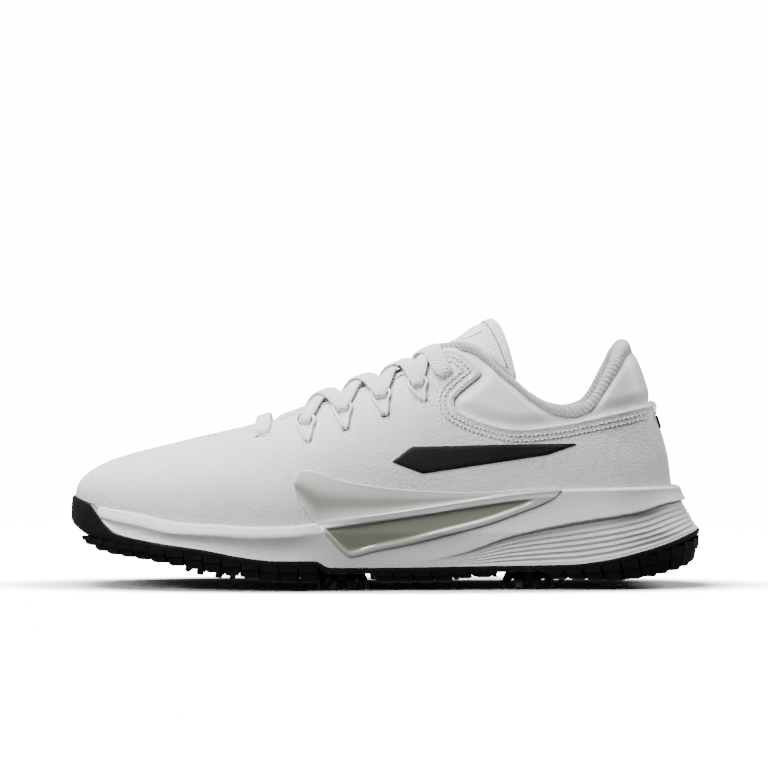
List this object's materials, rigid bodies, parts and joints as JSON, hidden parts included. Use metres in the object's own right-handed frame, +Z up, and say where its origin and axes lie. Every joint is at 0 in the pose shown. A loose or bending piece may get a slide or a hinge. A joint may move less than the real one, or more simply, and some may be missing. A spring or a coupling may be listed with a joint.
{
  "type": "golf shoe",
  "caption": "White leather left golf shoe with padded collar and tongue, looped laces, foam midsole, side clip and a black lugged outsole with removable twist-lock soft spikes.",
  "frame": {"origin": "on the ground, centred under the shoe's bounding box", "axes": "+X from toe to heel, -Y the outer (lateral) side, +Y the inner (medial) side, +Z up; left shoe standing on its spikes"},
  "size_m": [0.3018, 0.1105, 0.1283],
  "materials": {
    "white_leather": "tumbled grain, satin",
    "smooth_panel": "smooth, satin",
    "stiffener": "matte non-woven",
    "lining": "matte knitted textile",
    "foam": "soft open foam",
    "black_trim": "smooth bonded film",
    "label": "woven tape",
    "lace": "woven",
    "loop_cord": "braided",
    "midsole_foam": "moulded foam, fine texture",
    "shank": "moulded",
    "clip": "smoky translucent moulding",
    "outsole": "moulded, satin",
    "receptacle": "moulded",
    "spike_hub": "moulded",
    "spike_legs": "moulded, satin"
  },
  "bodies": {
    "shoe": {"vamp": "white_leather", "quarter_lateral": "white_leather", "quarter_medial": "white_leather", "heel_strip": "white_leather", "collar_panel": "smooth_panel", "toe_puff": "stiffener", "heel_counter": "stiffener", "eyestay_backer_lateral": "stiffener", "eyestay_backer_medial": "stiffener", "quarter_lining_lateral": "lining", "quarter_lining_medial": "lining", "vamp_lining": "lining", "collar_foam": "foam", "collar_lining": "lining", "side_accent_lateral": "black_trim", "side_accent_medial": "black_trim", "heel_badge": "black_trim", "tongue_cover": "smooth_panel", "tongue_foam": "foam", "tongue_lining": "lining", "lace": "lace", "lace_loops_lateral": "loop_cord", "lace_loops_medial": "loop_cord", "strobel_board": "stiffener", "sockliner_foam": "foam", "sockliner_cover": "lining", "midsole": "midsole_foam", "shank": "shank", "side_clip": "clip", "outsole": "outsole", "spike_receptacles": "receptacle"},
    "tongue_flap": {"tongue_flap_cover": "smooth_panel", "tongue_flap_foam": "foam", "tongue_flap_lining": "lining", "tongue_label": "label"},
    "spike_front_lateral": {"spike_front_lateral_base": "spike_hub", "spike_front_lateral_legs": "spike_legs"},
    "spike_front_medial": {"spike_front_medial_base": "spike_hub", "spike_front_medial_legs": "spike_legs"},
    "spike_ball_lateral": {"spike_ball_lateral_base": "spike_hub", "spike_ball_lateral_legs": "spike_legs"},
    "spike_ball_medial": {"spike_ball_medial_base": "spike_hub", "spike_ball_medial_legs": "spike_legs"},
    "spike_arch_lateral": {"spike_arch_lateral_base": "spike_hub", "spike_arch_lateral_legs": "spike_legs"},
    "spike_arch_medial": {"spike_arch_medial_base": "spike_hub", "spike_arch_medial_legs": "spike_legs"},
    "spike_heel": {"spike_heel_base": "spike_hub", "spike_heel_legs": "spike_legs"}
  },
  "joints": [
    {"name": "tongue_bend", "type": "hinge", "parent": "shoe", "child": "tongue_flap", "pos_m": [0.033, 0, 0.111], "axis": [0, 1, 0], "range_deg": [-20, 5], "stiffness_Nm_per_rad": 0.5},
    {"name": "spike_front_lateral_twist", "type": "hinge", "parent": "shoe", "child": "spike_front_lateral", "pos_m": [-0.082, -0.027, 0.0064], "axis": [0.165, 0, 0.9863], "range_deg": [0, 60]},
    {"name": "spike_front_medial_twist", "type": "hinge", "parent": "shoe", "child": "spike_front_medial", "pos_m": [-0.088, 0.027, 0.0074], "axis": [0.165, 0, 0.9863], "range_deg": [0, 60]},
    {"name": "spike_ball_lateral_twist", "type": "hinge", "parent": "shoe", "child": "spike_ball_lateral", "pos_m": [-0.0195, -0.03, 0], "axis": [0, 0, 1], "range_deg": [0, 60]},
    {"name": "spike_ball_medial_twist", "type": "hinge", "parent": "shoe", "child": "spike_ball_medial", "pos_m": [-0.027, 0.027, 0], "axis": [0, 0, 1], "range_deg": [0, 60]},
    {"name": "spike_arch_lateral_twist", "type": "hinge", "parent": "shoe", "child": "spike_arch_lateral", "pos_m": [0.068, -0.023, 0], "axis": [0, 0, 1], "range_deg": [0, 60]},
    {"name": "spike_arch_medial_twist", "type": "hinge", "parent": "shoe", "child": "spike_arch_medial", "pos_m": [0.076, 0.021, 0], "axis": [0, 0, 1], "range_deg": [0, 60]},
    {"name": "spike_heel_twist", "type": "hinge", "parent": "shoe", "child": "spike_heel", "pos_m": [0.118, 0, 0.0034], "axis": [-0.1392, 0, 0.9903], "range_deg": [0, 60]}
  ]
}
